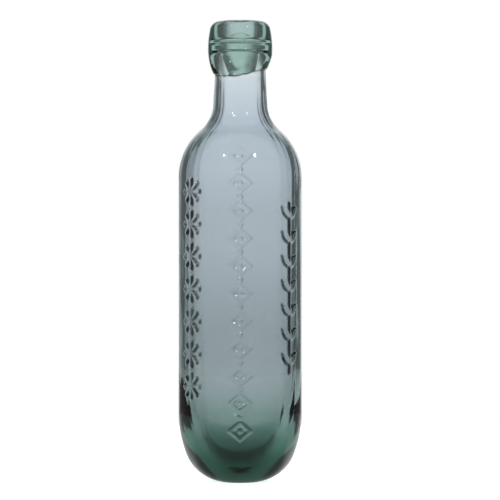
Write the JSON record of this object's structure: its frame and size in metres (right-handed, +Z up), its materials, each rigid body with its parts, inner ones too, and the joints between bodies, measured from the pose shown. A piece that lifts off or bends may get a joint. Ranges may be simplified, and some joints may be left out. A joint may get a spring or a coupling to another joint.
{
  "type": "marble stopper bottle",
  "caption": "Round-ended glass bottle for mineral water with a heavy applied lip, closed from inside by a loose glass marble that seals on a rubber ring.",
  "frame": {"origin": "centre of the flat under the base, on the bottle's axis", "axes": "+Z up the axis, out of the mouth; -Y towards the front column of raised ornament"},
  "size_m": [0.0618, 0.0627, 0.23],
  "materials": {
    "bottle_glass": "pale aqua blown glass, polished, with seeds and mould marks",
    "lip_glass": "thick aqua glass, fire-polished and tooled",
    "seal_rubber": "aged moulded rubber, matt",
    "marble_glass": "clear green-aqua solid glass, lightly scuffed"
  },
  "bodies": {
    "bottle": {"bottle_body": "bottle_glass", "applied_lip": "lip_glass", "seal_ring": "seal_rubber"},
    "marble": {"marble": "marble_glass"}
  },
  "joints": [
    {"name": "marble_drop", "type": "slide", "parent": "bottle", "child": "marble", "axis": [0, 0, 1], "range_m": [-0.1936, 0]}
  ]
}
